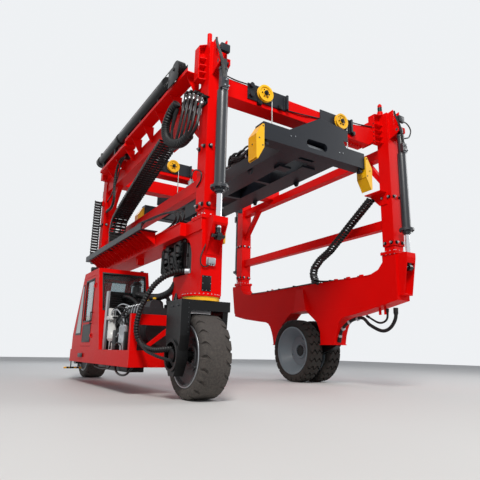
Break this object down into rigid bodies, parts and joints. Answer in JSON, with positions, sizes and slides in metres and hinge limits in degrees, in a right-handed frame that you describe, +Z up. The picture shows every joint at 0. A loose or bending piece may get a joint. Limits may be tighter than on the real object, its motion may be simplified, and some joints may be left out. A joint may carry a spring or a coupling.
{
  "type": "three-wheel container straddle carrier",
  "caption": "Container straddle carrier: a portal on steered and twin wheels, a hydraulic lift frame on telescopic masts, a rope-hung telescopic spreader and a driver's cab.",
  "frame": {"origin": "on the floor, in the middle of the overall box at rest", "axes": "+X from the cab side to the twin-wheel side, +Y along the machine towards the cab's front, +Z up"},
  "size_m": [5.821, 7.16, 6.189],
  "materials": {
    "red_paint": "glossy red machine enamel",
    "black_paint": "satin black paint",
    "grey_paint": "dark grey paint",
    "yellow_paint": "yellow enamel",
    "chrome_rod": "hard chrome plating",
    "tyre_rubber": "dusty solid rubber",
    "rim_paint": "grey-blue rim paint",
    "black_plastic": "moulded energy chain",
    "steel_rope": "greased wire rope",
    "cast_grey": "engine castings",
    "silver": "bright metal housings",
    "cab_glass": "clear glazing",
    "seat_cover": "woven seat cover"
  },
  "bodies": {
    "chassis": {"left_base_beam": "red_paint", "left_legs": "red_paint", "chain_trays": "black_paint", "fixed_masts": "red_paint", "lift_rods": "chrome_rod", "right_beam": "red_paint", "right_feet": "red_paint", "right_gussets": "red_paint", "axle_carrier": "black_paint", "deck": "red_paint", "bulkheads": "red_paint", "engine": "cast_grey", "radiator": "silver", "filters": "silver", "hydraulic_tank": "black_paint", "cab_shell": "red_paint", "cab_glass": "cab_glass", "cab_seat": "seat_cover", "slew_rings": "yellow_paint", "chain_left": "black_plastic", "chain_front": "black_plastic", "chain_right": "black_plastic"},
    "cab_door": {"cab_door": "red_paint"},
    "lift_frame": {"lift_columns": "red_paint", "lift_barrels": "grey_paint", "cross_beams": "red_paint", "top_beams": "red_paint", "ties": "red_paint", "cable_shelf": "red_paint", "hoist_cylinder": "black_paint", "chain_brackets": "red_paint", "trolley_plates": "grey_paint", "sheaves": "yellow_paint", "hoist_ropes": "steel_rope"},
    "spreader": {"spreader_frame": "grey_paint", "hydraulic_pack": "black_paint"},
    "spreader_rear": {"rear_end_beam": "grey_paint", "rear_guides": "yellow_paint"},
    "spreader_front": {"front_end_beam": "grey_paint", "front_guides": "yellow_paint"},
    "fork_rear": {"fork_rear": "black_paint"},
    "fork_front": {"fork_front": "black_paint"},
    "wheel_rear": {"tyre_rear": "tyre_rubber", "rim_rear": "rim_paint"},
    "wheel_front": {"tyre_front": "tyre_rubber", "rim_front": "rim_paint"},
    "wheel_right": {"twin_tyres": "tyre_rubber", "twin_rims": "rim_paint"}
  },
  "joints": [
    {"name": "cab_door_hinge", "type": "hinge", "parent": "chassis", "child": "cab_door", "pos_m": [-2.911, 0.25, 1.45], "axis": [0, 0, 1], "range_deg": [0, 95]},
    {"name": "lift", "type": "slide", "parent": "chassis", "child": "lift_frame", "axis": [0, 0, 1], "range_m": [0, 1.9], "deforming": ["chain_left", "chain_front", "chain_right"]},
    {"name": "hoist", "type": "slide", "parent": "lift_frame", "child": "spreader", "axis": [0, 0, -1], "range_m": [0, 2.2], "deforming": ["hoist_ropes"]},
    {"name": "telescope_rear", "type": "slide", "parent": "spreader", "child": "spreader_rear", "axis": [0, -1, 0], "range_m": [0, 3.05]},
    {"name": "telescope_front", "type": "slide", "parent": "spreader", "child": "spreader_front", "axis": [0, 1, 0], "range_m": [0, 3.05]},
    {"name": "steer_rear", "type": "hinge", "parent": "chassis", "child": "fork_rear", "pos_m": [-2.11, -2.96, 0.62], "axis": [0, 0, 1], "range_deg": [-40, 40]},
    {"name": "steer_front", "type": "hinge", "parent": "chassis", "child": "fork_front", "pos_m": [-2.11, 2.96, 0.62], "axis": [0, 0, 1], "range_deg": [-40, 40]},
    {"name": "roll_rear", "type": "hinge", "parent": "fork_rear", "child": "wheel_rear", "pos_m": [-2.11, -2.96, 0.62], "axis": [1, 0, 0], "continuous": true},
    {"name": "roll_front", "type": "hinge", "parent": "fork_front", "child": "wheel_front", "pos_m": [-2.11, 2.96, 0.62], "axis": [1, 0, 0], "continuous": true},
    {"name": "roll_right", "type": "hinge", "parent": "chassis", "child": "wheel_right", "pos_m": [2.425, 0, 0.75], "axis": [1, 0, 0], "continuous": true}
  ],
  "couplings": [
    {"joint": "telescope_front", "follows": "telescope_rear", "ratio": 1}
  ]
}
